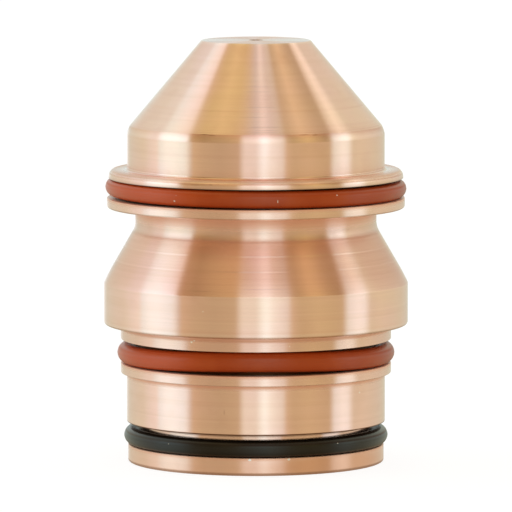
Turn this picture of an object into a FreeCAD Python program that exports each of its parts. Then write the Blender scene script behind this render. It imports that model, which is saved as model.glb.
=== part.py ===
"""Plasma torch nozzle: one turned copper body with three O-rings seated in its grooves.

Millimetres, +Z up. The origin is on the axis, in the plane of the rear rim that the nozzle
stands on, and the cone with the arc orifice points up. The body is one outline turned about +Z,
and its heights stack up from the rear rim, so a longer stretch lifts all that is in front of it.
"""
import FreeCAD, Part
import math
import os

# Rear end, which goes into the torch
rear_barrel_radius = 11.05
rear_barrel_length = 4.20
rear_rim_setback = 0.10
rear_rim_length = 1.50
land_radius = 11.57
lower_land_length = 0.85
upper_land_length = 1.25

# Flare, the widest part, and the neck above it
flare_radius = 13.00
flare_barrel_length = 3.70
flare_half_angle = 30.0
flare_shoulder_round = 0.50
neck_radius = 10.31
neck_length = 1.64
neck_root_round = 1.50
neck_top_round = 0.25

# Flange that holds the front O-ring between two lips, a little inside the flare's radius
lower_lip_setback = 0.27
lower_lip_length = 0.85
upper_lip_setback = 0.14
upper_lip_length = 0.70
upper_lip_edge = 0.10
upper_lip_slope = 0.31

# Front barrel and cone
front_barrel_radius = 11.00
front_barrel_length = 3.48
front_barrel_root_round = 0.25
cone_half_angle = 40.0
cone_shoulder_round = 1.30
tip_radius = 4.65

# O-rings and their grooves, which are cut down from the lower lip, the lands and the rear barrel
front_ring_section = 1.50
front_ring_side_clearance = 0.20
front_groove_depth = 1.38
middle_ring_section = 1.70
middle_ring_side_clearance = 0.35
middle_groove_depth = 1.42
rear_ring_section = 1.50
rear_ring_side_clearance = 0.45
rear_groove_depth = 1.27
ring_seat_clearance = 0.01

# Hollow: a seat for the swirl ring, the electrode's bore and the arc orifice
seat_wall = 1.58
seat_depth = 9.00
seat_mouth_chamfer = 0.60
seat_shoulder_width = 1.90
inner_cone_half_angle = 42.0
inner_cone_root_round = 1.00
orifice_radius = 0.50
orifice_length = 3.20
orifice_exit_chamfer = 0.075

# Edges
edge_break = 0.12
lip_edge_break = 0.15
flare_edge_break = 0.20
fine_edge_break = 0.06
# A round or a break takes up at most this share of the shorter run beside it
largest_share_of_a_run = 0.45

# Radii that follow from the ones above
rear_rim_radius = rear_barrel_radius - rear_rim_setback
lower_lip_radius = flare_radius - lower_lip_setback
upper_lip_radius = lower_lip_radius - upper_lip_setback
front_groove_floor_radius = lower_lip_radius - front_groove_depth
middle_groove_floor_radius = land_radius - middle_groove_depth
rear_groove_floor_radius = rear_barrel_radius - rear_groove_depth
seat_radius = rear_groove_floor_radius - seat_wall
electrode_bore_radius = seat_radius - seat_shoulder_width

# Heights above the rear rim
rear_groove_bottom = rear_rim_length
rear_groove_top = rear_groove_bottom + rear_ring_section + rear_ring_side_clearance
lower_land_bottom = rear_groove_top + rear_barrel_length
middle_groove_bottom = lower_land_bottom + lower_land_length
middle_groove_top = middle_groove_bottom + middle_ring_section + middle_ring_side_clearance
flare_bottom = middle_groove_top + upper_land_length
flare_shoulder = flare_bottom + flare_barrel_length
flare_cone_length = (flare_radius - neck_radius) / math.tan(math.radians(flare_half_angle))
neck_bottom = flare_shoulder + flare_cone_length
flange_bottom = neck_bottom + neck_length
front_groove_bottom = flange_bottom + lower_lip_length
front_groove_top = front_groove_bottom + front_ring_section + front_ring_side_clearance
flange_top = front_groove_top + upper_lip_length
cone_bottom = flange_top + front_barrel_length
cone_length = (front_barrel_radius - tip_radius) / math.tan(math.radians(cone_half_angle))
tip_height = cone_bottom + cone_length
orifice_bottom = tip_height - orifice_length
inner_cone_length = (electrode_bore_radius - orifice_radius) / math.tan(math.radians(inner_cone_half_angle))
inner_cone_bottom = orifice_bottom - inner_cone_length

turning_axis = FreeCAD.Vector(0, 0, 1)


def sharp(radius, height):
    """A corner of the outline that stays as it is."""
    return FreeCAD.Vector(radius, 0, height), "sharp", 0.0


def rounded(radius, height, rounding):
    """A corner that becomes an arc of the given radius, tangent to both runs."""
    return FreeCAD.Vector(radius, 0, height), "round", rounding


def broken(radius, height, size):
    """A corner that is cut off straight, the given size back along both runs."""
    return FreeCAD.Vector(radius, 0, height), "break", size


def corner_points(before, corner, after, kind, size):
    """The points that a corner is drawn through: one if sharp, two if broken, three if rounded."""
    if kind == "sharp":
        return [corner]
    back = before - corner
    ahead = after - corner
    half_turn = (math.pi - back.getAngle(ahead)) / 2
    reach = size * math.tan(half_turn) if kind == "round" else size
    reach = min(reach, largest_share_of_a_run * min(back.Length, ahead.Length))
    back.normalize()
    ahead.normalize()
    start = corner + back * reach
    end = corner + ahead * reach
    if kind == "break":
        return [start, end]
    radius = reach / math.tan(half_turn)
    inward = (back + ahead).normalize()
    return [start, corner + inward * (math.hypot(radius, reach) - radius), end]


def turned(corners):
    """Turn the closed outline through these corners into a solid about the Z axis."""
    points = []
    for index, (corner, kind, size) in enumerate(corners):
        before = corners[index - 1][0]
        after = corners[(index + 1) % len(corners)][0]
        points.append(corner_points(before, corner, after, kind, size))
    edges = []
    for index, drawn in enumerate(points):
        if len(drawn) == 2:
            edges.append(Part.LineSegment(*drawn).toShape())
        if len(drawn) == 3:
            edges.append(Part.Arc(*drawn).toShape())
        next_start = points[(index + 1) % len(points)][0]
        edges.append(Part.LineSegment(drawn[-1], next_start).toShape())
    return Part.Face(Part.Wire(edges)).revolve(FreeCAD.Vector(0, 0, 0), turning_axis, 360)


def nozzle_body():
    """The copper body: rear end, flare, neck, grooved flange, front barrel, cone and hollow."""
    outside = [
        sharp(seat_radius + seat_mouth_chamfer, 0),
        broken(rear_rim_radius, 0, edge_break),
        broken(rear_rim_radius, rear_groove_bottom, fine_edge_break),
        sharp(rear_groove_floor_radius, rear_groove_bottom),
        sharp(rear_groove_floor_radius, rear_groove_top),
        broken(rear_barrel_radius, rear_groove_top, fine_edge_break),
        sharp(rear_barrel_radius, lower_land_bottom),
        broken(land_radius, lower_land_bottom, edge_break),
        broken(land_radius, middle_groove_bottom, fine_edge_break),
        sharp(middle_groove_floor_radius, middle_groove_bottom),
        sharp(middle_groove_floor_radius, middle_groove_top),
        broken(land_radius, middle_groove_top, fine_edge_break),
        sharp(land_radius, flare_bottom),
        broken(flare_radius, flare_bottom, flare_edge_break),
        rounded(flare_radius, flare_shoulder, flare_shoulder_round),
        rounded(neck_radius, neck_bottom, neck_root_round),
        rounded(neck_radius, flange_bottom, neck_top_round),
        broken(lower_lip_radius, flange_bottom, lip_edge_break),
        broken(lower_lip_radius, front_groove_bottom, fine_edge_break),
        sharp(front_groove_floor_radius, front_groove_bottom),
        sharp(front_groove_floor_radius, front_groove_top),
        sharp(upper_lip_radius, front_groove_top),
        sharp(upper_lip_radius, front_groove_top + upper_lip_edge),
        broken(upper_lip_radius - upper_lip_slope, flange_top, edge_break),
        rounded(front_barrel_radius, flange_top, front_barrel_root_round),
        rounded(front_barrel_radius, cone_bottom, cone_shoulder_round),
        broken(tip_radius, tip_height, edge_break),
    ]
    inside = [
        broken(orifice_radius, tip_height, orifice_exit_chamfer),
        sharp(orifice_radius, orifice_bottom),
        rounded(electrode_bore_radius, inner_cone_bottom, inner_cone_root_round),
        broken(electrode_bore_radius, seat_depth, edge_break),
        sharp(seat_radius, seat_depth),
        sharp(seat_radius, seat_mouth_chamfer),
    ]
    return turned(outside + inside)


def o_ring(section, floor_radius, centre_height, axis):
    """A round-section ring stretched over a groove floor, a seat clearance off it."""
    section_radius = section / 2
    centre_radius = floor_radius + ring_seat_clearance + section_radius
    centre = FreeCAD.Vector(0, 0, centre_height)
    return Part.makeTorus(centre_radius, section_radius, centre, axis)


def front_o_ring():
    """The flange's ring lies askew: it nears the upper wall at -X and the lower wall at +X."""
    room = front_ring_side_clearance - 2 * ring_seat_clearance
    ring_radius = front_groove_floor_radius + ring_seat_clearance + front_ring_section / 2
    lean = math.asin(max(room, 0.0) / (2 * ring_radius))
    axis = FreeCAD.Vector(math.sin(lean), 0, math.cos(lean))
    middle_height = (front_groove_bottom + front_groove_top) / 2
    return o_ring(front_ring_section, front_groove_floor_radius, middle_height, axis)


def middle_o_ring():
    """The ring below the flare rests on the lower wall of its groove."""
    height = middle_groove_bottom + ring_seat_clearance + middle_ring_section / 2
    return o_ring(middle_ring_section, middle_groove_floor_radius, height, turning_axis)


def rear_o_ring():
    """The rear end's ring rests on the lower wall of its groove."""
    height = rear_groove_bottom + ring_seat_clearance + rear_ring_section / 2
    return o_ring(rear_ring_section, rear_groove_floor_radius, height, turning_axis)


pieces = {
    "nozzle_body": nozzle_body(),
    "front_o_ring": front_o_ring(),
    "middle_o_ring": middle_o_ring(),
    "rear_o_ring": rear_o_ring(),
}

os.makedirs("parts", exist_ok=True)
for name, shape in pieces.items():
    shape.exportStep("parts/" + name + ".step")
    print(name, "valid" if shape.isValid() else "NOT VALID", len(shape.Solids), "solid", round(shape.Volume, 2))
print("height", round(tip_height, 3), "front barrel", round(flange_top, 3), "to", round(cone_bottom, 3))
print("seat radius", round(seat_radius, 3), "electrode bore radius", round(electrode_bore_radius, 3))
print("electrode bore", seat_depth, "to", round(inner_cone_bottom, 3), "orifice from", round(orifice_bottom, 3))
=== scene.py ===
"""Looks of the plasma torch nozzle: bright turned copper, three rubber O-rings and a pale studio.

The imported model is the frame: metres, +Z up, the axis through the origin and the rear rim on the
floor. Sizes in this file are millimetres, as a drawing gives them, and `MM` turns them to metres.
"""

import math

import bpy
from mathutils import Matrix, Vector


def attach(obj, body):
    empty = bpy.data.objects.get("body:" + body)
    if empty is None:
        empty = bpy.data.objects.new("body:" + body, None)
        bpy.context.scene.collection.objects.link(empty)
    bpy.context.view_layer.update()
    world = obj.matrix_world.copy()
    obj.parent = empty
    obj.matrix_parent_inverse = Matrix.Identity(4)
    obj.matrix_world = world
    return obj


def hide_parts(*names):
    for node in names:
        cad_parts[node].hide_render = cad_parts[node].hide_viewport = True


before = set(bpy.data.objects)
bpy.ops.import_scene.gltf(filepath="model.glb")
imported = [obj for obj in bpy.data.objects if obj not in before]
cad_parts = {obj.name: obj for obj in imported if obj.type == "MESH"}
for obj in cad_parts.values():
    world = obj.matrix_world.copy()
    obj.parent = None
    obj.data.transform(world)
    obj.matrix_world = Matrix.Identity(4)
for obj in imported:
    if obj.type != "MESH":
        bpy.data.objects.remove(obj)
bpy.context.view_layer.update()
scene = bpy.context.scene

MM = 0.001

# Where the photograph was taken from
camera_elevation = 5.63
camera_distance = 600.0
camera_lens = 493.0
camera_sensor = 36.0
camera_clip = (0.01, 20.0)
aim_height = 17.58
aim_offset = 0.009

# Rear end of the body
rear_rim_radius = 10.95
rear_groove_floor_radius = 9.78
rear_groove_bottom = 1.50
rear_groove_top = 3.45
rear_floor_top_radius = 9.70
# Height up the rear groove's floor from which painted dark shade grows towards the barrel's edge
rear_floor_shade_start = 3.14
rear_barrel_radius = 11.05
land_radius = 11.57
lower_land_bottom = 7.65
middle_groove_floor_radius = 10.15
middle_groove_bottom = 8.50
middle_groove_top = 10.55

# Flare and neck
flare_radius = 13.00
flare_bottom = 11.80
flare_edge = 15.36
flare_edge_round = 0.10
flare_turn_radius = 12.616
flare_turn = 16.166
flare_turn_round = 20.0
neck_radius = 10.31
neck_bottom = 20.16
neck_root_round = 1.50
# Height on the neck from which the painted warm shade under the flange grows towards it
neck_tarnish_start = 20.76
neck_root_foot_radius = 10.6333
neck_root_foot = 19.60
neck_top_round = 0.25

# Flange, front barrel and cone
flange_bottom = 21.80
lower_lip_radius = 12.73
front_groove_floor_radius = 11.35
front_groove_bottom = 22.65
front_groove_top = 24.35
upper_lip_radius = 12.59
upper_lip_edge = 0.10
upper_lip_turn_radius = 12.56
upper_lip_turn = 24.74
upper_lip_turn_round = 0.50
upper_lip_top_radius = 12.28
flange_top = 25.05
front_barrel_radius = 11.00
front_barrel_root_round = 0.25
cone_bottom = 28.53
cone_shoulder_round = 1.10
tip_radius = 4.65
tip_height = 36.0968

# Hollow
seat_radius = 8.20
seat_depth = 9.00
seat_mouth_chamfer = 0.60
electrode_bore_radius = 6.30
inner_cone_bottom = 26.455
inner_cone_root_round = 1.00
orifice_radius = 0.50
orifice_bottom = 32.897

# Edges, which the turning tool leaves slightly rolled over
rim_edge_reach = 0.18
edge_reach = 0.12
land_edge_reach = 0.08
lip_edge_reach = 0.20
flare_edge_reach = 0.26
fine_edge_reach = 0.06
orifice_edge_reach = 0.075
# How wide a ring around the orifice the painted dark shade of the hole fades over
orifice_shade_band = 0.15
step_root_round = 0.12

# How far a round's first and last facings turn past those of the runs beside it, in degrees
shoulder_kink = 12.0
root_kink = 3.0

# How far the painted warm shade reaches along a run from a step's root, and from a groove, where it
# also paints the rubber's warm reflection
contact_band = 0.50
glow_band = 0.30

# O-rings: section across, radius and height of the ring's centre, how far the ring leans towards
# +X in degrees, and how far its front bows up off the groove's lower wall
front_ring = {"section": 1.50, "radius": 12.11, "height": 23.50, "lean": 0.4258, "bow": 0.0}
middle_ring = {"section": 1.70, "radius": 11.01, "height": 9.36, "lean": 0.0, "bow": 0.33}
rear_ring = {"section": 1.50, "radius": 10.54, "height": 2.26, "lean": 0.0, "bow": 0.0}
seam_height = 0.010
seam_half_angle = 3.0

# How finely the turned meshes are divided, and how wide a band of wear runs beside an edge
steps_around = 360
steps_in_round = 10
steps_in_edge = 5
steps_round_section = 40
edge_band = 0.35

# Fine tool marks just above each shoulder: distance up the run, pitch, count and tilt in degrees
flare_marks = [(0.50, 0.20, 1, 4.0), (1.91, 0.20, 1, 5.0)]
cone_marks = [(0.08, 0.18, 2, 4.0), (2.30, 0.20, 1, 4.0)]


# Camera

def place_camera():
    """The camera looks along +Y, a little downwards, with the nozzle filling the frame's height."""
    data = bpy.data.cameras.new("camera")
    data.lens = camera_lens
    data.sensor_width = camera_sensor
    data.clip_start, data.clip_end = camera_clip
    camera = bpy.data.objects.new("camera", data)
    scene.collection.objects.link(camera)
    elevation = math.radians(camera_elevation)
    back = Vector((0, -math.cos(elevation), math.sin(elevation)))
    aim = Vector((aim_offset, 0, aim_height))
    camera.location = (aim + back * camera_distance) * MM
    camera.rotation_euler = (math.pi / 2 - elevation, 0, 0)
    scene.camera = camera


# Turned shapes. An outline is a closed list of corners with the metal on its left. A corner may say
# how much painted warm shade and painted dark shade lie on the copper there, both of which also
# roughen it, and how finely polished it is, all from 0 to 1, and the fine tool marks on the run that
# follows it.
surface_values = ("tarnish", "grime", "polish")


def sharp(radius, height, **more):
    """A corner that stays as it is."""
    return {"place": (radius, height), "steps": 0, **more}


def rounded(radius, height, arc, **more):
    """A corner that becomes an arc of that radius, tangent to both runs unless it has a kink."""
    return {"place": (radius, height), "steps": steps_in_round, "arc": arc, **more}


def rolled(radius, height, reach, **more):
    """An edge that rolls over in a small arc, which starts that far from the corner."""
    return {"place": (radius, height), "steps": steps_in_edge, "reach": reach, **more}


def heading(start, end):
    """The direction of a run, in degrees."""
    return math.degrees(math.atan2(end[1] - start[1], end[0] - start[0]))


def stepped(start, length, direction):
    """The place that lies that far from a start in a direction in degrees."""
    angle = math.radians(direction)
    return start[0] + length * math.cos(angle), start[1] + length * math.sin(angle)


def corner_stations(before, corner, after):
    """The stations along one corner: its point if sharp, or an arc of points with their facings."""
    place = corner["place"]
    if corner["steps"] == 0:
        return [(place, None)]
    way_in = heading(before["place"], place)
    turn = (heading(place, after["place"]) - way_in + 180) % 360 - 180
    side = math.copysign(1, turn)
    half_turn = math.radians(abs(turn) / 2)
    reach = corner["reach"] if "reach" in corner else corner["arc"] * math.tan(half_turn)
    kink = side * corner.get("kink", 0.0)
    swept = turn - 2 * kink
    arc = reach * math.cos(half_turn) / math.sin(math.radians(abs(swept) / 2))
    first_facing = way_in - 90 + kink
    centre = stepped(stepped(place, -reach, way_in), -side * arc, first_facing)
    facings = [first_facing + swept * step / corner["steps"] for step in range(corner["steps"] + 1)]
    return [(stepped(centre, side * arc, facing), facing) for facing in facings]


def run_stations(start, end, marks):
    """The stations inside a straight run, as places and tilts of the surface there.

    One near each end keeps an edge's wear narrow. A group of tool marks tilts the surface down and
    back up again by half as much, and lies flat at both ends.
    """
    length = math.dist(start, end)
    direction = heading(start, end)
    if length < 3 * edge_band:
        return []
    tilts = {edge_band: 0.0, length - edge_band: 0.0}
    for first, pitch, count, tilt in marks:
        for index in range(2 * count + 1):
            swing = -1.0 if index % 2 else 0.5
            flat = index in (0, 2 * count)
            tilts[first + pitch * index / 2] = 0.0 if flat else tilt * swing
    return [(stepped(start, distance, direction), tilts[distance]) for distance in sorted(tilts)]


def outline_strips(corners):
    """The outline as points, and the strips between them with their facing and surface values."""
    drawn = []
    for index, corner in enumerate(corners):
        before = corners[index - 1]
        after = corners[(index + 1) % len(corners)]
        drawn.append(corner_stations(before, corner, after))
    points = []
    strips = []
    for index, stations in enumerate(drawn):
        corner = corners[index]
        following = corners[(index + 1) % len(corners)]
        worn = 1.0 if "reach" in corner else 0.0
        here = {name: corner.get(name, 0.0) for name in surface_values}
        there = {name: following.get(name, 0.0) for name in surface_values}
        for step, (place, facing) in enumerate(stations):
            if step > 0:
                strip = {name: (here[name], here[name]) for name in here}
                strip["facing"] = stations[step - 1][1], facing
                strip["worn"] = worn, worn
                strips.append(strip)
            points.append(place)
        start = stations[-1][0]
        end = drawn[(index + 1) % len(drawn)][0][0]
        facing = heading(start, end) - 90
        inner = run_stations(start, end, corner.get("marks", []))
        stops = [(start, 0.0)] + inner + [(end, 0.0)]
        worn_end = 1.0 if "reach" in following else 0.0
        length = math.dist(start, end)
        for piece, ((first, first_tilt), (second, second_tilt)) in enumerate(zip(stops, stops[1:])):
            shares = math.dist(start, first) / length, math.dist(start, second) / length
            strip = {name: tuple(here[name] + (there[name] - here[name]) * share for share in shares)
                     for name in here}
            strip["facing"] = facing + first_tilt, facing + second_tilt
            strip["worn"] = (worn if inner and piece == 0 else 0.0,
                             worn_end if inner and piece == len(inner) else 0.0)
            strips.append(strip)
        points.extend(place for place, tilt in inner)
    return points, strips


def turned_mesh(name, points, strips):
    """The closed outline turned about Z, with exact normals, distance along it and surface values."""
    count = len(points)
    vertices = []
    faces = []
    for around in range(steps_around):
        angle = 2 * math.pi * around / steps_around
        cosine = math.cos(angle)
        sine = math.sin(angle)
        following = (around + 1) % steps_around
        for index, (across, up) in enumerate(points):
            vertices.append((across * cosine * MM, across * sine * MM, up * MM))
            ahead = (index + 1) % count
            first = around * count
            second = following * count
            faces.append((first + index, second + index, second + ahead, first + ahead))
    mesh = bpy.data.meshes.new(name)
    mesh.from_pydata(vertices, [], faces)
    lengths = [math.dist(points[index], points[(index + 1) % count]) for index in range(count)]
    starts = [sum(lengths[:index]) for index in range(count)]
    normals = []
    values = {name: [] for name in ("along", "worn", *surface_values)}
    for around in range(steps_around):
        angles = [2 * math.pi * (around + step) / steps_around for step in (0, 1, 1, 0)]
        for index, strip in enumerate(strips):
            along = starts[index], starts[index] + lengths[index]
            for angle, end in zip(angles, (0, 0, 1, 1)):
                facing = math.radians(strip["facing"][end])
                level = math.cos(facing)
                normals.append((level * math.cos(angle), level * math.sin(angle), math.sin(facing)))
                values["along"].append(along[end])
                for value in ("worn", *surface_values):
                    values[value].append(strip[value][end] if value in strip else 0.0)
    mesh.shade_smooth()
    mesh.normals_split_custom_set(normals)
    for value, numbers in values.items():
        mesh.attributes.new(value, "FLOAT", "CORNER").data.foreach_set("value", numbers)
    return mesh


def shown(name, mesh, node, material):
    """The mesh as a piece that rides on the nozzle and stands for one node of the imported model."""
    mesh.materials.append(material)
    piece = bpy.data.objects.new(name, mesh)
    scene.collection.objects.link(piece)
    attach(piece, "root")
    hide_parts(node)
    return piece


def nozzle_outline():
    """The body's outline: up the outside from the rear rim, over the tip and down the hollow."""
    # tarnish and grime paint shade under steps, on the neck, by the rims, in the grooves and in the
    # orifice; beside the grooves the warm one also paints the rubber's warm reflection
    return [
        sharp(seat_radius + seat_mouth_chamfer, 0),
        rolled(rear_rim_radius, 0, rim_edge_reach, tarnish=1.0, grime=0.5),
        sharp(rear_rim_radius, glow_band, tarnish=0.5),
        sharp(rear_rim_radius, rear_groove_bottom - glow_band, tarnish=0.4),
        rolled(rear_rim_radius, rear_groove_bottom, fine_edge_reach, tarnish=0.9),
        sharp(rear_groove_floor_radius, rear_groove_bottom, grime=1.0),
        sharp(rear_groove_floor_radius, rear_ring["height"], polish=1.0),
        sharp(rear_floor_top_radius, rear_floor_shade_start, polish=1.0, grime=0.1),
        sharp(rear_floor_top_radius, rear_groove_top, grime=1.0),
        rolled(rear_barrel_radius, rear_groove_top, fine_edge_reach, grime=1.0),
        sharp(rear_barrel_radius, rear_groove_top + edge_reach),
        sharp(rear_barrel_radius, lower_land_bottom - contact_band),
        rounded(rear_barrel_radius, lower_land_bottom, step_root_round, tarnish=1.0),
        rolled(land_radius, lower_land_bottom, land_edge_reach, tarnish=0.1),
        sharp(land_radius, middle_groove_bottom - glow_band, tarnish=0.15),
        rolled(land_radius, middle_groove_bottom, fine_edge_reach, tarnish=0.9),
        sharp(middle_groove_floor_radius, middle_groove_bottom, grime=1.0),
        sharp(middle_groove_floor_radius, middle_groove_top, grime=1.0),
        rolled(land_radius, middle_groove_top, fine_edge_reach, tarnish=0.2),
        sharp(land_radius, flare_bottom - contact_band, tarnish=0.25),
        sharp(land_radius, flare_bottom - glow_band, tarnish=1.0, grime=0.08),
        sharp(land_radius, flare_bottom - edge_reach, tarnish=0.5),
        sharp(land_radius, flare_bottom, tarnish=0.5),
        rolled(flare_radius, flare_bottom, flare_edge_reach),
        rounded(flare_radius, flare_edge, flare_edge_round),
        rounded(flare_turn_radius, flare_turn, flare_turn_round, marks=flare_marks),
        sharp(neck_root_foot_radius, neck_root_foot),
        rounded(neck_radius, neck_bottom, neck_root_round, kink=root_kink,
                tarnish=0.2, grime=0.12, polish=0.6),
        sharp(neck_radius, neck_tarnish_start, tarnish=0.35),
        rounded(neck_radius, flange_bottom, neck_top_round, tarnish=1.0),
        rolled(lower_lip_radius, flange_bottom, lip_edge_reach, tarnish=0.1),
        sharp(lower_lip_radius, front_groove_bottom - glow_band, tarnish=0.15),
        rolled(lower_lip_radius, front_groove_bottom, fine_edge_reach, tarnish=0.9),
        sharp(front_groove_floor_radius, front_groove_bottom, grime=1.0),
        sharp(front_groove_floor_radius, front_groove_top, grime=1.0),
        sharp(upper_lip_radius, front_groove_top, grime=0.5),
        sharp(upper_lip_radius, front_groove_top + upper_lip_edge, grime=0.12),
        rounded(upper_lip_turn_radius, upper_lip_turn, upper_lip_turn_round),
        rolled(upper_lip_top_radius, flange_top, edge_reach, tarnish=0.6, grime=0.12),
        sharp(front_barrel_radius + glow_band, flange_top, tarnish=0.2),
        rounded(front_barrel_radius, flange_top, front_barrel_root_round, grime=0.08, polish=0.5),
        sharp(front_barrel_radius, flange_top + contact_band),
        rounded(front_barrel_radius, cone_bottom, cone_shoulder_round, kink=shoulder_kink,
                marks=cone_marks),
        rolled(tip_radius, tip_height, edge_reach),
        sharp(orifice_radius + orifice_shade_band, tip_height),
        rolled(orifice_radius, tip_height, orifice_edge_reach, grime=0.6),
        sharp(orifice_radius, orifice_bottom, grime=1.0),
        rounded(electrode_bore_radius, inner_cone_bottom, inner_cone_root_round),
        rolled(electrode_bore_radius, seat_depth, edge_reach),
        sharp(seat_radius, seat_depth),
        sharp(seat_radius, seat_mouth_chamfer),
    ]


def ring_outline(ring):
    """A ring's round section as points and strips, with the thin moulding seam on its outside."""
    angles = [360 * step / steps_round_section for step in range(1, steps_round_section)]
    angles = sorted(angles + [0, seam_half_angle, 360 - seam_half_angle])
    points = []
    for angle in angles:
        section = ring["section"] / 2 + (seam_height if angle == 0 else 0)
        facing = math.radians(angle)
        points.append((ring["radius"] + section * math.cos(facing), section * math.sin(facing)))
    tilt = math.degrees(math.atan2(seam_height, ring["section"] / 2 * math.radians(seam_half_angle)))
    strips = []
    for index, angle in enumerate(angles):
        following = angles[(index + 1) % len(angles)] or 360
        facing = angle, following
        if angle == 0:
            facing = tilt, tilt
        elif following == 360:
            facing = -tilt, -tilt
        strips.append({"facing": facing})
    return points, strips


def place_ring(name, ring, node, material):
    """An O-ring at its height, leaned over by its small angle and bowed up at the front."""
    mesh = turned_mesh(name, *ring_outline(ring))
    lean = Matrix.Rotation(math.radians(ring["lean"]), 4, "Y")
    mesh.transform(Matrix.Translation((0, 0, ring["height"] * MM)) @ lean)
    for vertex in mesh.vertices:
        ahead = max(-vertex.co.y / math.hypot(vertex.co.x, vertex.co.y), 0.0)
        vertex.co.z += ring["bow"] * MM * ahead ** 3
    return shown(name, mesh, node, material)


# Node graphs

def add(tree, kind, inputs=None, **settings):
    """A shader node with its settings, and each input set to a value or linked to a socket."""
    made = tree.nodes.new("ShaderNode" + kind)
    for name, value in settings.items():
        setattr(made, name, value)
    for name, value in (inputs or {}).items():
        if isinstance(value, bpy.types.NodeSocket):
            tree.links.new(value, made.inputs[name])
        else:
            made.inputs[name].default_value = value
    return made


def calc(tree, operation, *values):
    """The result of one math operation on numbers and sockets."""
    return add(tree, "Math", dict(enumerate(values)), operation=operation).outputs[0]


def ranged(tree, value, low, high, new_low=0.0, new_high=1.0, smooth=True):
    """A value carried over from one range to another, and held at its ends."""
    inputs = {"Value": value, "From Min": low, "From Max": high, "To Min": new_low, "To Max": new_high}
    kind = "SMOOTHSTEP" if smooth else "LINEAR"
    return add(tree, "MapRange", inputs, interpolation_type=kind).outputs["Result"]


def mixed(tree, factor, first, second, blend="MIX"):
    """Two colours blended by a factor."""
    made = add(tree, "Mix", data_type="RGBA", blend_type=blend)
    for index, value in ((0, factor), (6, first), (7, second)):
        if isinstance(value, bpy.types.NodeSocket):
            tree.links.new(value, made.inputs[index])
        else:
            made.inputs[index].default_value = value
    return made.outputs[2]


def noise(tree, vector, scale, detail=2.0, roughness=0.5):
    """Noise between about 0 and 1, the same for every run."""
    inputs = {"Vector": vector, "Scale": scale, "Detail": detail, "Roughness": roughness}
    return add(tree, "TexNoise", inputs, noise_dimensions="3D").outputs["Fac"]


def place_in_millimetres(tree):
    """The place on the object at rest, in millimetres."""
    place = add(tree, "TexCoord").outputs["Object"]
    return add(tree, "VectorMath", {0: place, "Scale": 1 / MM}, operation="SCALE").outputs[0]


def new_material(name):
    """An empty node material and its tree."""
    material = bpy.data.materials.new(name)
    material.use_nodes = True
    material.node_tree.nodes.clear()
    return material, material.node_tree


def finish_material(tree, shader):
    """Link a shader to the material's output."""
    output = add(tree, "OutputMaterial")
    tree.links.new(shader, output.inputs["Surface"])


# A spot covers fully up to this share of its reach and fades out from there
spot_core = 0.4


def spot_mask(tree, place, spots):
    """How far a place lies inside any of the spots, from 0 to 1."""
    mask = None
    for bearing, height, radius, half_width, half_height in spots:
        angle = math.radians(bearing)
        centre = (radius * math.sin(angle), -radius * math.cos(angle), height)
        apart = add(tree, "VectorMath", {0: place, 1: centre}, operation="SUBTRACT").outputs[0]
        size = (half_width, half_width, half_height)
        shares = add(tree, "VectorMath", {0: apart, 1: size}, operation="DIVIDE").outputs[0]
        share = add(tree, "VectorMath", {0: shares}, operation="LENGTH").outputs["Value"]
        inside = ranged(tree, share, 1.0, spot_core)
        mask = inside if mask is None else calc(tree, "MAXIMUM", mask, inside)
    return mask


# Blemishes, painted highlights and painted shade: the bearing in degrees from the camera's side, the
# height, the radius of the surface there, and the spot's half width and half height
# Painted highlights: small bright spots on the rims and lands
copper_painted_highlights = [
    (-27.9, 11.30, 11.57, 0.15, 0.13), (-26.7, 11.42, 11.57, 0.12, 0.07),
    (14.2, 11.04, 11.57, 0.05, 0.06), (52.7, 6.62, 11.05, 0.08, 0.08),
    (-2.7, 1.38, 10.95, 0.19, 0.13), (14.7, 1.38, 10.95, 0.17, 0.12),
    (-20.0, 14.10, 13.00, 0.05, 0.08),
]
# Scratches, and painted shade as dark marks along the cone's shoulder crease at about 28.8 mm
copper_scratches_and_crease_shade = [
    (-17.5, 24.74, 12.45, 0.20, 0.06), (-23.5, 28.80, 10.76, 0.50, 0.05),
    (-20.0, 28.74, 10.82, 0.45, 0.04), (22.0, 28.78, 10.78, 0.60, 0.04),
    (27.5, 28.74, 10.82, 0.35, 0.04), (-14.0, 5.40, 11.05, 0.03, 0.30),
]
# Faint lines around the cone and the flare, drawn out across the front
copper_lines = [
    (2.0, 32.65, 7.54, 1.6, 0.04), (1.0, 32.25, 7.88, 1.4, 0.04), (3.0, 31.02, 8.91, 1.8, 0.05),
    (-1.0, 30.22, 9.58, 1.5, 0.04), (4.0, 29.43, 10.25, 1.8, 0.09), (5.0, 29.18, 10.46, 1.4, 0.05),
    (4.0, 29.02, 10.59, 1.6, 0.05), (-6.0, 17.38, 11.92, 3.0, 0.06), (3.0, 16.00, 12.70, 2.6, 0.06),
    (-22.0, 15.78, 12.80, 1.6, 0.05), (3.0, 18.60, 11.21, 2.4, 0.05),
]
# A painted patch of darker, warmer reflection on the rear rim's right side
copper_painted_patches = [(40.0, 0.70, 10.95, 9.0, 1.2)]
front_ring_specks = [
    (-32.3, 23.27, 12.85, 0.13, 0.09), (8.2, 23.36, 12.86, 0.045, 0.24),
    (32.2, 23.78, 12.82, 0.10, 0.08), (-31.5, 23.75, 12.80, 0.05, 0.05),
]
middle_ring_specks = [(-52.0, 9.60, 11.80, 0.05, 0.05), (21.0, 9.30, 11.86, 0.05, 0.04)]
rear_ring_specks = [(38.0, 2.55, 11.20, 0.09, 0.04), (-41.0, 2.45, 11.25, 0.05, 0.04)]


# Copper

copper = (0.955, 0.638, 0.538, 1.0)
copper_rosy = (0.965, 0.620, 0.545, 1.0)
copper_golden = (0.945, 0.655, 0.480, 1.0)
copper_deep = (0.900, 0.575, 0.460, 1.0)
copper_worn = (0.980, 0.740, 0.640, 1.0)
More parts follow.
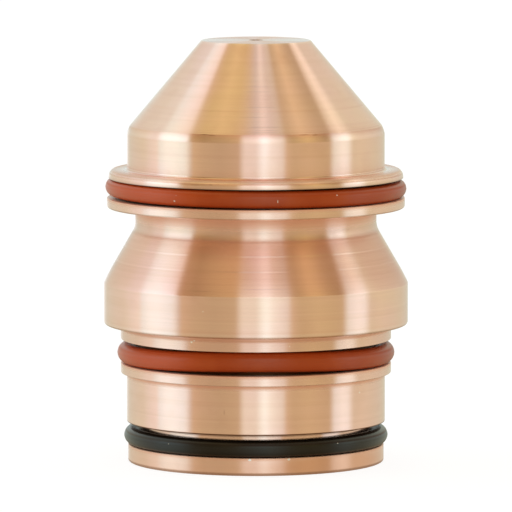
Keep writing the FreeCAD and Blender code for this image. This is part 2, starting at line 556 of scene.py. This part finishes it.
# Tint of the painted warm shade, and of the rubber's painted warm reflection beside the grooves
copper_tarnished = (0.970, 0.540, 0.385, 1.0)
# Tint of the painted patch of darker reflection
copper_painted_patch = (0.860, 0.470, 0.330, 1.0)
copper_lined = (0.850, 0.565, 0.470, 1.0)
# Tint of the scratches and of the painted shade along the cone's shoulder crease
copper_scratch_and_crease_shade = (0.620, 0.380, 0.280, 1.0)
# Tint of the painted dark shade
copper_grime = (0.200, 0.075, 0.030, 1.0)
# Tint of the painted highlights
copper_painted_highlight = (1.0, 0.95, 0.90, 1.0)

# Patterns on the copper, per millimetre: turning lines across and along, patches and clouds
fine_turning = (9.0, 0.02)
broad_turning = (1.7, 0.015)
patch_scale = 0.16
cloud_scale = 0.42

# Between which values of a pattern its tint sets in, and from which share to which
patch_tint = (0.35, 0.65)
broad_tint = (0.40, 0.75, 0.0, 0.5)
cloud_tint = (0.50, 0.75, 0.0, 0.4)
worn_tint = (0.3, 1.0, 0.0, 0.35)
fine_shade = (0.3, 0.7, 0.975, 1.0)

# Roughness of clean copper, what each pattern adds to it, and what full polish takes off
copper_roughness = 0.20
fine_roughness = 0.03
cloud_roughness = (0.5, 0.8, 0.0, 0.04)
tarnish_roughness = 0.20
grime_roughness = 0.25
polish_smoothing = 0.12
tarnish_dulling = 0.50
turning_bump = {"Strength": 0.3, "Distance": 0.0012 * MM}


def turning_lines(tree, place, fineness, spread):
    """Noise drawn out around the axis: fine across the turning lines, long along them."""
    split = add(tree, "SeparateXYZ", {0: place})
    along = add(tree, "Attribute", attribute_name="along").outputs["Fac"]
    inputs = {
        "X": calc(tree, "MULTIPLY", split.outputs["X"], spread),
        "Y": calc(tree, "MULTIPLY", split.outputs["Y"], spread),
        "Z": calc(tree, "MULTIPLY", along, fineness),
    }
    vector = add(tree, "CombineXYZ", inputs).outputs[0]
    return noise(tree, vector, 1.0, roughness=0.6)


def copper_material(name):
    """Turned copper: lines around the axis, which stretch reflections along it, and bright edges."""
    material, tree = new_material(name)
    place = place_in_millimetres(tree)
    worn = add(tree, "Attribute", attribute_name="worn").outputs["Fac"]
    tarnish = add(tree, "Attribute", attribute_name="tarnish").outputs["Fac"]
    grime = add(tree, "Attribute", attribute_name="grime").outputs["Fac"]
    polish = add(tree, "Attribute", attribute_name="polish").outputs["Fac"]
    fine = turning_lines(tree, place, *fine_turning)
    broad = turning_lines(tree, place, *broad_turning)
    patches = noise(tree, place, patch_scale)
    clouds = noise(tree, place, cloud_scale, detail=3.0)

    tone = mixed(tree, ranged(tree, patches, *patch_tint), copper_golden, copper_rosy)
    tone = mixed(tree, 0.5, tone, copper)
    tone = mixed(tree, ranged(tree, broad, *broad_tint), tone, copper_deep)
    tone = mixed(tree, ranged(tree, clouds, *cloud_tint), tone, copper_deep)
    # Painted warm shade under steps, on the neck and by the rims, which also paints the rubber's warm
    # reflection beside the grooves
    tone = mixed(tree, ranged(tree, tarnish, 0.0, 1.0), tone, copper_tarnished)
    bare = calc(tree, "SUBTRACT", 1.0, tarnish)
    rubbed = calc(tree, "MULTIPLY", bare, ranged(tree, worn, *worn_tint))
    tone = mixed(tree, rubbed, tone, copper_worn)
    light = ranged(tree, fine, *fine_shade)
    grey = add(tree, "CombineColor", {"Red": light, "Green": light, "Blue": light}).outputs[0]
    tone = mixed(tree, 1.0, tone, grey, "MULTIPLY")
    # Painted patch of darker reflection
    tone = mixed(tree, spot_mask(tree, place, copper_painted_patches), tone, copper_painted_patch)
    tone = mixed(tree, spot_mask(tree, place, copper_lines), tone, copper_lined)
    # Scratches, and painted shade along the cone's shoulder crease
    tone = mixed(tree, spot_mask(tree, place, copper_scratches_and_crease_shade), tone, copper_scratch_and_crease_shade)
    # Painted highlights
    tone = mixed(tree, spot_mask(tree, place, copper_painted_highlights), tone, copper_painted_highlight)
    # Painted dark shade in the grooves, the orifice and on the rims
    tone = mixed(tree, grime, tone, copper_grime)

    smoothest = copper_roughness - fine_roughness / 2
    gloss = calc(tree, "ADD", smoothest, calc(tree, "MULTIPLY", fine, fine_roughness))
    gloss = calc(tree, "ADD", gloss, ranged(tree, clouds, *cloud_roughness))
    gloss = calc(tree, "ADD", gloss, calc(tree, "MULTIPLY", tarnish, tarnish_roughness))
    gloss = calc(tree, "ADD", gloss, calc(tree, "MULTIPLY", grime, grime_roughness))
    gloss = calc(tree, "SUBTRACT", gloss, calc(tree, "MULTIPLY", polish, polish_smoothing))
    bump = add(tree, "Bump", {**turning_bump, "Height": calc(tree, "ADD", fine, broad)})
    inputs = {
        "Base Color": tone,
        "Metallic": calc(tree, "SUBTRACT", 1.0, calc(tree, "MULTIPLY", tarnish, tarnish_dulling)),
        "Roughness": gloss,
        "Anisotropic": 1.0,
        "Anisotropic Rotation": 0.25,
        "Tangent": add(tree, "Tangent", direction_type="RADIAL", axis="Z").outputs[0],
        "Normal": bump.outputs[0],
    }
    finish_material(tree, add(tree, "BsdfPrincipled", inputs).outputs[0])
    return material


# Rubber

orange_rubber = {
    "base": (0.395, 0.045, 0.005, 1.0),
    "worn": (0.420, 0.054, 0.007, 1.0),
    # painted_lit: the colour painted on the side that is shown as lit more strongly
    "painted_lit": (0.560, 0.068, 0.010, 1.0),
    "dust": (0.62, 0.40, 0.28, 1.0),
    "sheen": (1.0, 0.92, 0.72, 1.0),
    "roughness": 0.29,
}
black_rubber = {
    "base": (0.0040, 0.0030, 0.0020, 1.0),
    "worn": (0.0075, 0.0062, 0.0045, 1.0),
    # painted_lit: the colour painted on the side that is shown as lit more strongly
    "painted_lit": (0.0060, 0.0050, 0.0038, 1.0),
    "dust": (0.10, 0.09, 0.07, 1.0),
    "sheen": (1.0, 0.85, 0.72, 1.0),
    "roughness": 0.26,
}
rubber_speck = (0.80, 0.70, 0.62, 1.0)

# Patterns on the rubber, per millimetre, and over which stretch of X the painted light on its -X side
# sets in
rubber_cloud_scale = 0.5
rubber_grain_scale = 9.0
rubber_dust_scale = 4.0
worn_patches = (0.4, 0.7)
painted_lit_reach = (-3.0, -9.0)
dusty_patches = (0.72, 0.80, 0.0, 0.25)
grain_roughness = 0.06
grain_bump = {"Strength": 0.25, "Distance": 0.003 * MM}
rubber_specular = 0.42


def rubber_material(name, rubber, specks):
    """Moulded rubber: uneven in colour and gloss, with dust and a few specks, and painted light on its -X
    side.
    """
    material, tree = new_material(name)
    place = place_in_millimetres(tree)
    clouds = noise(tree, place, rubber_cloud_scale, detail=4.0)
    grain = noise(tree, place, rubber_grain_scale)
    dust = noise(tree, place, rubber_dust_scale, detail=3.0, roughness=0.7)
    tone = mixed(tree, ranged(tree, clouds, *worn_patches), rubber["base"], rubber["worn"])
    sideways = add(tree, "SeparateXYZ", {0: place}).outputs["X"]
    # Painted light: the -X side painted lighter, as if lit more strongly from there
    tone = mixed(tree, ranged(tree, sideways, *painted_lit_reach), tone, rubber["painted_lit"])
    tone = mixed(tree, ranged(tree, dust, *dusty_patches), tone, rubber["dust"])
    tone = mixed(tree, spot_mask(tree, place, specks), tone, rubber_speck)
    smoothest = rubber["roughness"] - grain_roughness / 2
    inputs = {
        "Base Color": tone,
        "Roughness": calc(tree, "ADD", smoothest, calc(tree, "MULTIPLY", grain, grain_roughness)),
        "Specular IOR Level": rubber_specular,
        "Specular Tint": rubber["sheen"],
        "Normal": add(tree, "Bump", {**grain_bump, "Height": grain}).outputs[0],
    }
    finish_material(tree, add(tree, "BsdfPrincipled", inputs).outputs[0])
    return material


# Floor and light

floor_reach = 3.0
floor_drop = 0.01
floor_tones = (0.22, 0.22, 0.24, 1.0), (0.24, 0.24, 0.26, 1.0)
floor_pattern_scale = 6.0
floor_glow = {"Color": (1.0, 1.0, 1.0, 1.0), "Strength": 0.86}


def place_floor():
    """A plain pale floor that reaches past the frame's edges, just below the rear rim."""
    sides = (-1, -1), (1, -1), (1, 1), (-1, 1)
    corners = [(across * floor_reach, along * floor_reach, -floor_drop * MM) for across, along in sides]
    mesh = bpy.data.meshes.new("floor")
    mesh.from_pydata(corners, [], [(0, 1, 2, 3)])
    material, tree = new_material("pale_floor")
    place = add(tree, "TexCoord").outputs["Object"]
    tone = mixed(tree, noise(tree, place, floor_pattern_scale), *floor_tones)
    matt = add(tree, "BsdfDiffuse", {"Color": tone}).outputs[0]
    glow = add(tree, "Emission", floor_glow).outputs[0]
    finish_material(tree, add(tree, "AddShader", {0: matt, 1: glow}).outputs[0])
    mesh.materials.append(material)
    floor = bpy.data.objects.new("floor", mesh)
    floor.visible_glossy = False
    floor.visible_diffuse = False
    scene.collection.objects.link(floor)


# The studio's light is a set of tall soft strips that stand around the nozzle. Each stop is the
# bearing that a wall faces to mirror it to the camera, in degrees from the camera's side and
# positive towards +X, the brightness there and its tint.
white = (1.0, 1.0, 1.0)
icy = (0.92, 1.0, 1.05)
airy = (0.93, 1.0, 1.12)
chill = (0.87, 1.0, 1.08)
cool = (0.80, 1.0, 1.02)
clear = (0.87, 1.0, 0.97)
soft = (0.94, 1.0, 0.93)
mild = (0.94, 1.0, 0.84)
pale = (1.0, 1.0, 0.78)
olive = (0.95, 1.0, 0.70)
fair = (1.0, 0.92, 0.83)
sand = (1.0, 0.87, 0.65)
blush = (1.0, 0.61, 0.56)
salmon = (1.0, 0.675, 0.485)
coral = (1.0, 0.51, 0.34)
warm = (1.0, 0.87, 0.60)
amber = (1.0, 0.88, 0.56)
straw = (1.0, 0.93, 0.61)
golden = (1.0, 0.92, 0.50)
ember = (1.0, 0.58, 0.33)
rust = (1.0, 0.53, 0.31)

level_strips = [
    (-90, 1.15, white), (-83, 0.86, soft), (-78, 0.76, mild), (-60, 0.84, mild), (-54, 0.95, soft),
    (-50, 1.02, soft), (-47.8, 1.20, cool), (-44, 1.37, cool), (-40, 1.40, cool), (-34, 1.24, cool),
    (-32.0, 1.11, clear), (-30.6, 0.80, soft), (-29.0, 0.71, warm), (-24, 0.63, warm), (-16, 0.58, warm),
    (-7.6, 0.62, warm), (-5.3, 0.96, soft), (0.0, 0.95, soft), (3.2, 1.37, cool), (4.4, 1.40, cool),
    (6.6, 1.18, clear), (12.0, 0.92, soft), (13.8, 0.71, warm), (17, 0.64, amber), (24, 0.68, amber),
    (34.6, 0.64, amber), (37.2, 1.04, clear), (42, 1.20, clear), (45, 1.15, clear), (48.8, 0.74, pale),
    (54, 0.78, pale), (90, 0.67, mild),
]
# How much brighter or dimmer the upper part of the strips is than their foot, for rounded edges
crown_strips = [
    (-90, 1.14, icy), (-70, 1.17, icy), (-60, 1.27, airy), (-51, 1.22, airy), (-47, 1.43, airy),
    (-32.3, 1.42, airy), (-30.5, 0.80, warm), (-24, 0.63, straw), (-16, 0.87, pale), (-8, 1.05, pale),
    (-5, 1.38, icy), (2, 1.44, icy), (8, 1.33, icy), (12, 1.26, icy), (16, 0.86, mild),
    (24, 1.25, olive), (33, 0.65, pale), (37, 1.31, icy), (45, 1.65, chill), (48.5, 1.70, chill),
    (54, 1.32, airy), (76, 1.16, airy), (90, 0.97, white),
]
# What the flare's cone and the neck's root mirror
raised_strips = [
    (-90, 0.50, mild), (-76, 0.65, sand), (-60, 0.69, sand), (-50, 0.78, fair), (-46, 0.98, soft),
    (-41, 1.01, soft), (-36, 0.88, fair), (-32.5, 0.75, salmon), (-29.5, 0.44, rust), (-24, 0.37, rust),
    (-12, 0.58, ember), (-7, 0.62, ember), (-4, 0.55, coral), (0, 0.71, blush), (3, 0.83, blush),
    (5, 0.80, blush), (7, 0.64, coral), (12, 0.48, coral), (15, 0.46, rust), (21, 0.69, ember),
    (29, 0.43, rust), (34, 0.42, rust), (38, 0.61, salmon), (42, 0.72, salmon), (45, 0.64, salmon),
    (49, 0.52, salmon), (60, 0.53, salmon), (76, 0.50, salmon), (90, 0.72, mild),
]
# What the cone mirrors
high_strips = [
    (-90, 0.90, clear), (-70, 0.85, soft), (-54, 0.98, clear), (-48.5, 1.00, clear), (-45, 1.18, cool),
    (-38, 1.23, clear), (-33, 1.13, soft), (-29.5, 0.80, straw), (-25, 0.81, golden), (-17, 0.91, golden),
    (-10, 0.79, golden), (-5, 0.75, straw), (0, 0.74, soft), (3.5, 1.03, soft), (6.5, 0.84, soft),
    (11, 0.80, mild), (14, 0.66, straw), (21, 0.86, straw), (31, 0.64, straw), (35, 0.58, straw),
    (38, 0.88, pale), (42, 1.20, mild), (45, 1.12, mild), (48.5, 0.88, mild), (70, 0.85, mild),
    (90, 0.74, mild),
]

# Between which lifts, in degrees, a facing goes over from one light to the next: up from level,
# then down from it
crown_lifts = (8.0, 16.0)
raised_lifts = (21.0, 28.0)
high_lifts = (31.0, 38.0)
overhead_lifts = (60.0, 82.0)
below_lifts = (-5.0, -42.0)
underfoot_lifts = (-60.0, -85.0)
overhead_light = (0.73, 0.86, 0.85, 1.0)
below_shade = (0.55, 0.46, 0.38, 1.0)
underfoot_light = (0.56, 0.54, 0.52, 1.0)
room_white = (1.0, 1.0, 1.0, 1.0)


def strip_ramp(tree, bearing, strips):
    """The light of one set of strips, by bearing."""
    ramp = add(tree, "ValToRGB", {"Fac": ranged(tree, bearing, -90.0, 90.0, smooth=False)})
    stops = ramp.color_ramp.elements
    for index, (angle, brightness, tint) in enumerate(strips):
        share = (angle + 90) / 180
        stop = stops[index] if index < 2 else stops.new(share)
        stop.position = share
    ordered = sorted(stops, key=lambda stop: stop.position)
    for stop, (angle, brightness, tint) in zip(ordered, strips):
        stop.color = [brightness * channel for channel in tint] + [1.0]
    return ramp.outputs["Color"]


def place_light():
    """Soft strips by bearing and lift, and a plain white room where the camera sees past the floor."""
    world = bpy.data.worlds.new("studio")
    world.use_nodes = True
    scene.world = world
    tree = world.node_tree
    tree.nodes.clear()
    elevation = math.radians(camera_elevation)
    towards_camera = (0, -math.cos(elevation), math.sin(elevation))
    direction = add(tree, "TexCoord").outputs["Generated"]
    middle = add(tree, "VectorMath", {0: direction, 1: towards_camera}, operation="ADD").outputs[0]
    facing = add(tree, "VectorMath", {0: middle}, operation="NORMALIZE").outputs[0]
    split = add(tree, "SeparateXYZ", {0: facing})
    ahead = calc(tree, "MULTIPLY", split.outputs["Y"], -1.0)
    bearing = calc(tree, "DEGREES", calc(tree, "ARCTAN2", split.outputs["X"], ahead))
    lift = calc(tree, "DEGREES", calc(tree, "ARCSINE", split.outputs["Z"]))
    level = strip_ramp(tree, bearing, level_strips)
    crown = strip_ramp(tree, bearing, crown_strips)
    raised = strip_ramp(tree, bearing, raised_strips)
    high = strip_ramp(tree, bearing, high_strips)
    light = mixed(tree, ranged(tree, lift, *crown_lifts), level, crown, "MULTIPLY")
    light = mixed(tree, ranged(tree, lift, *raised_lifts), light, raised)
    light = mixed(tree, ranged(tree, lift, *high_lifts), light, high)
    light = mixed(tree, ranged(tree, lift, *overhead_lifts), light, overhead_light)
    light = mixed(tree, ranged(tree, lift, *below_lifts), light, below_shade, "MULTIPLY")
    light = mixed(tree, ranged(tree, lift, *underfoot_lifts), light, underfoot_light)
    seen = add(tree, "LightPath").outputs["Is Camera Ray"]
    light = mixed(tree, seen, light, room_white)
    background = add(tree, "Background", {"Color": light, "Strength": 1.0})
    output = add(tree, "OutputWorld")
    tree.links.new(background.outputs[0], output.inputs["Surface"])


place_camera()
scene.view_settings.view_transform = "Standard"
place_light()
place_floor()

turned_copper = copper_material("turned_copper")
body_mesh = turned_mesh("turned_body", *outline_strips(nozzle_outline()))
shown("turned_body", body_mesh, "nozzle_body", turned_copper)

front_rubber = rubber_material("front_rubber", orange_rubber, front_ring_specks)
middle_rubber = rubber_material("middle_rubber", orange_rubber, middle_ring_specks)
rear_rubber = rubber_material("rear_rubber", black_rubber, rear_ring_specks)
place_ring("front_ring", front_ring, "front_o_ring", front_rubber)
place_ring("middle_ring", middle_ring, "middle_o_ring", middle_rubber)
place_ring("rear_ring", rear_ring, "rear_o_ring", rear_rubber)
